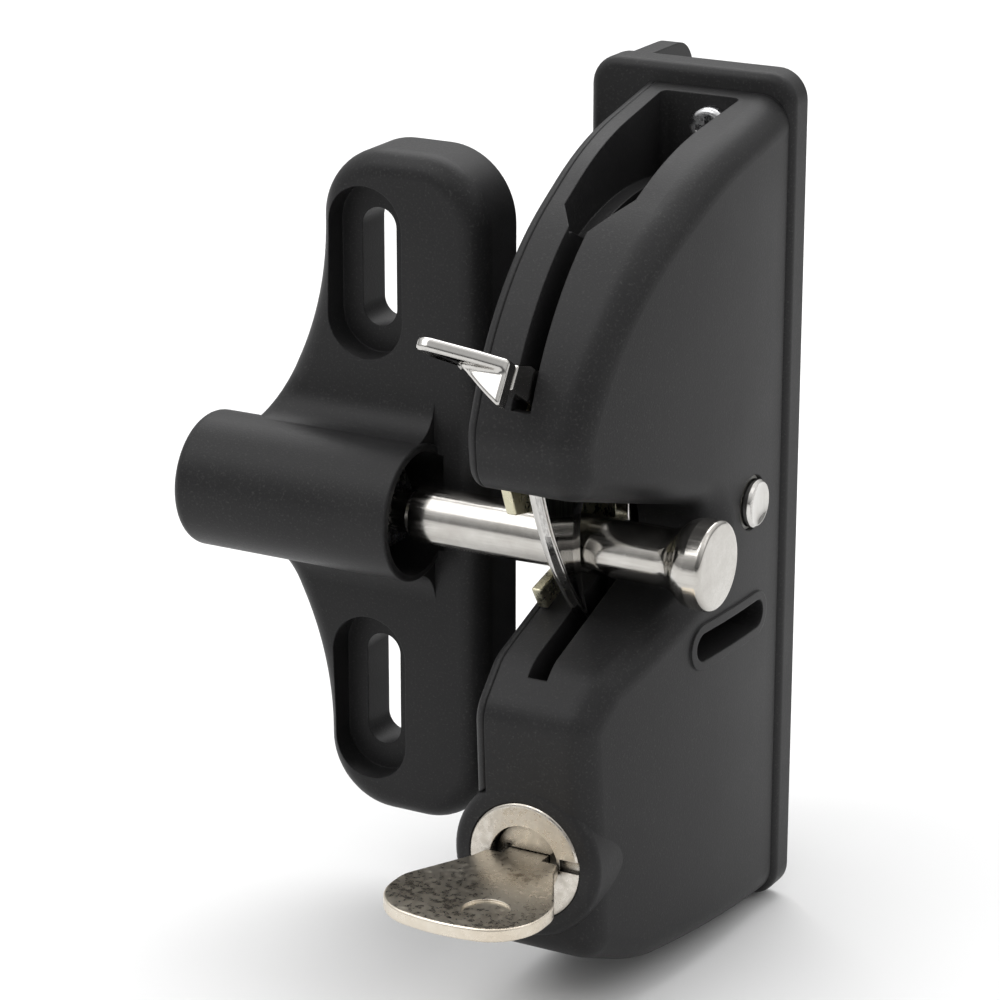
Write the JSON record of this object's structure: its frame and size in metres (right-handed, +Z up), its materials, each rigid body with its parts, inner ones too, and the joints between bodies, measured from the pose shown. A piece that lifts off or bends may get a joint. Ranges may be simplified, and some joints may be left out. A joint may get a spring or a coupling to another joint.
{
  "type": "gravity gate latch",
  "caption": "Key-locking gravity gate latch: moulded body on an angled post plate, steel latch arm with thumb tab, and a two-lobed striker carrying a headed pin.",
  "frame": {"origin": "post face of the mounting plate, 5 mm above its bottom edge, in the plane of the latch arm", "axes": "+Z up, -Y to the front where the lock and the key are, +X along the striker pin towards its head"},
  "size_m": [0.0948, 0.1144, 0.143],
  "materials": {
    "moulded_polymer": "satin, fine grain, black",
    "bush_polymer": "plain acetal",
    "rubber_pad": "matte black",
    "polished_steel": "polished stainless steel",
    "bright_nickel": "bright nickel plate with fine turning marks",
    "satin_nickel": "satin nickel",
    "key_nickel": "tumbled nickel plate",
    "zinc_steel": "zinc plated, slightly yellow",
    "steel_fixings": "plated steel",
    "brass_wafers": "stamped brass"
  },
  "bodies": {
    "latch_body": {"mounting_plate": "moulded_polymer", "housing_body": "moulded_polymer", "left_cover": "moulded_polymer", "cover_screws": "steel_fixings", "housing_screw": "steel_fixings", "pivot_axle": "polished_steel", "axle_clip": "steel_fixings", "pivot_bush": "bush_polymer", "rest_bumper": "rubber_pad", "lock_barrel": "satin_nickel", "barrel_screw": "steel_fixings", "bar_guide": "bush_polymer", "guide_screw": "steel_fixings", "wear_plate": "zinc_steel", "wear_plate_rivets": "steel_fixings"},
    "arm": {"latch_arm": "polished_steel", "hub_sleeve": "bush_polymer", "finger_tab": "polished_steel"},
    "plug": {"lock_plug": "satin_nickel", "plug_clip": "steel_fixings", "tailpiece": "steel_fixings", "lock_crank": "zinc_steel"},
    "wafers": {"wafer_tumblers": "brass_wafers"},
    "bar": {"locking_bar": "zinc_steel"},
    "key": {"key": "key_nickel"},
    "striker": {"striker_body": "moulded_polymer", "pin_insert": "zinc_steel", "pin_locknut": "steel_fixings", "striker_pin": "bright_nickel"}
  },
  "joints": [
    {"name": "arm_lift", "type": "hinge", "parent": "latch_body", "child": "arm", "pos_m": [0, -0.0166, 0.07], "axis": [-1, 0, 0], "range_deg": [0, 40]},
    {"name": "lock_turn", "type": "hinge", "parent": "latch_body", "child": "plug", "pos_m": [0, -0.053, 0.021], "axis": [0, -1, 0], "range_deg": [0, 90]},
    {"name": "bar_lift", "type": "slide", "parent": "latch_body", "child": "bar", "axis": [0, 0, 1], "range_m": [0, 0.0071]},
    {"name": "key_draw", "type": "slide", "parent": "plug", "child": "key", "axis": [0, -1, 0], "range_m": [0, 0.018]},
    {"name": "wafer_shift", "type": "slide", "parent": "plug", "child": "wafers", "axis": [1, 0, 0], "range_m": [0, 0.0009]},
    {"name": "striker_play", "type": "slide", "parent": "latch_body", "child": "striker", "axis": [1, 0, 0], "range_m": [-0.01, 0.008]}
  ],
  "couplings": [
    {"joint": "bar_lift", "follows": "lock_turn", "m_per_rad": 0.0045},
    {"joint": "wafer_shift", "follows": "key_draw", "ratio": 0.05}
  ]
}
